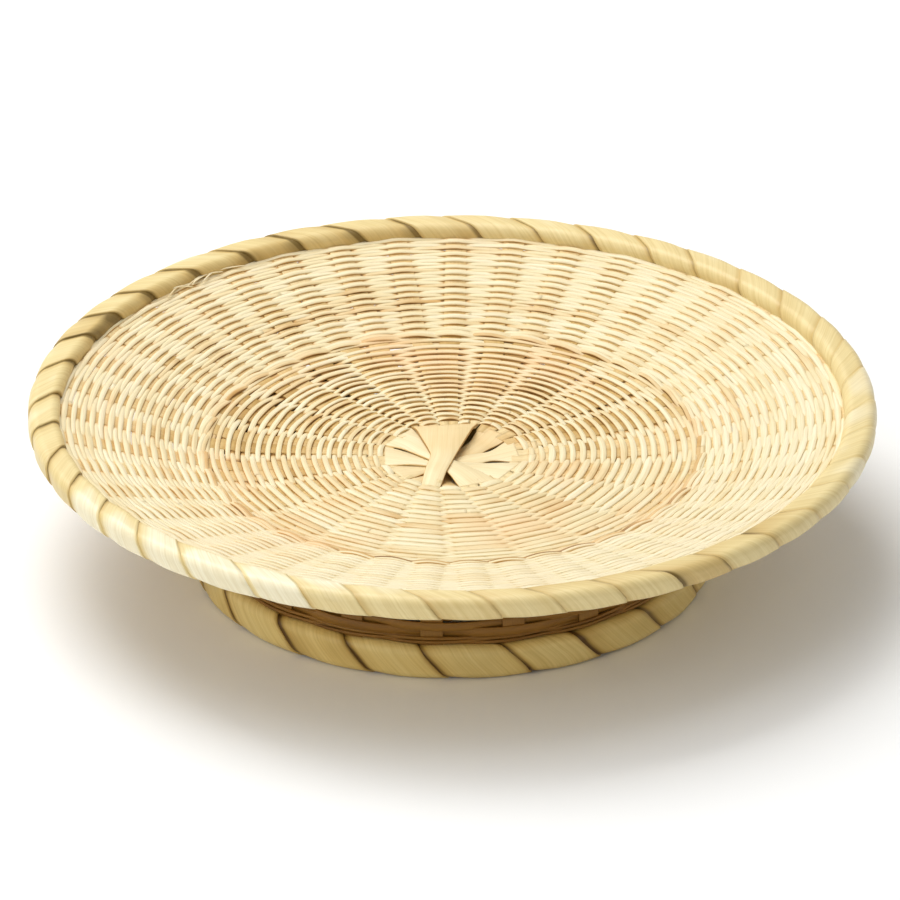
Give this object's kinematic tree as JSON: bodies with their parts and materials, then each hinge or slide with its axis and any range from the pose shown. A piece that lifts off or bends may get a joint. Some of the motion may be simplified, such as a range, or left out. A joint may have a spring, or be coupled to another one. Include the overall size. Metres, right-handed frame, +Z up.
{
  "type": "footed bamboo tray",
  "caption": "Round shallow bamboo tray, close-woven on split strips that cross in the middle, with a wrapped rim and a woven ring foot.",
  "frame": {"origin": "middle of the plane that the foot rests on", "axes": "+Z up through the middle of the tray; -Y is the side seen in front"},
  "size_m": [0.3, 0.3, 0.0624],
  "materials": {
    "strip": "satin",
    "weft": "satin",
    "hoop": "satin",
    "wrap": "satin",
    "foot_stake": "satin",
    "foot_weft": "satin",
    "foot_wrap": "satin"
  },
  "bodies": {
    "root": {"corner_weft": "weft", "floor_weft_1": "weft", "floor_weft_2": "weft", "floor_weft_3": "weft", "floor_weft_4": "weft", "foot_inner_hoop": "hoop", "foot_outer_hoop": "hoop", "foot_stake_01": "foot_stake", "foot_stake_02": "foot_stake", "foot_stake_03": "foot_stake", "foot_stake_04": "foot_stake", "foot_stake_05": "foot_stake", "foot_stake_06": "foot_stake", "foot_stake_07": "foot_stake", "foot_stake_08": "foot_stake", "foot_stake_09": "foot_stake", "foot_stake_10": "foot_stake", "foot_stake_11": "foot_stake", "foot_stake_12": "foot_stake", "foot_stake_13": "foot_stake", "foot_stake_14": "foot_stake", "foot_stake_15": "foot_stake", "foot_stake_16": "foot_stake", "foot_stake_17": "foot_stake", "foot_stake_18": "foot_stake", "foot_stake_19": "foot_stake", "foot_twining": "foot_weft", "foot_weft_1": "foot_weft", "foot_weft_2": "foot_weft", "foot_wrap_1": "foot_wrap", "foot_wrap_2": "foot_wrap", "foot_wrap_3": "foot_wrap", "foot_wrap_4": "foot_wrap", "rim_lower_hoop": "hoop", "rim_upper_hoop": "hoop", "rim_wrap_1": "wrap", "rim_wrap_2": "wrap", "rim_wrap_3": "wrap", "rim_wrap_4": "wrap", "through_strip_1": "strip", "through_strip_2": "strip", "through_strip_3": "strip", "through_strip_4": "strip", "through_strip_5": "strip", "through_strip_6": "strip", "wall_weft_1": "weft", "wall_weft_2": "weft", "wall_weft_3": "weft"}
  },
  "joints": []
}
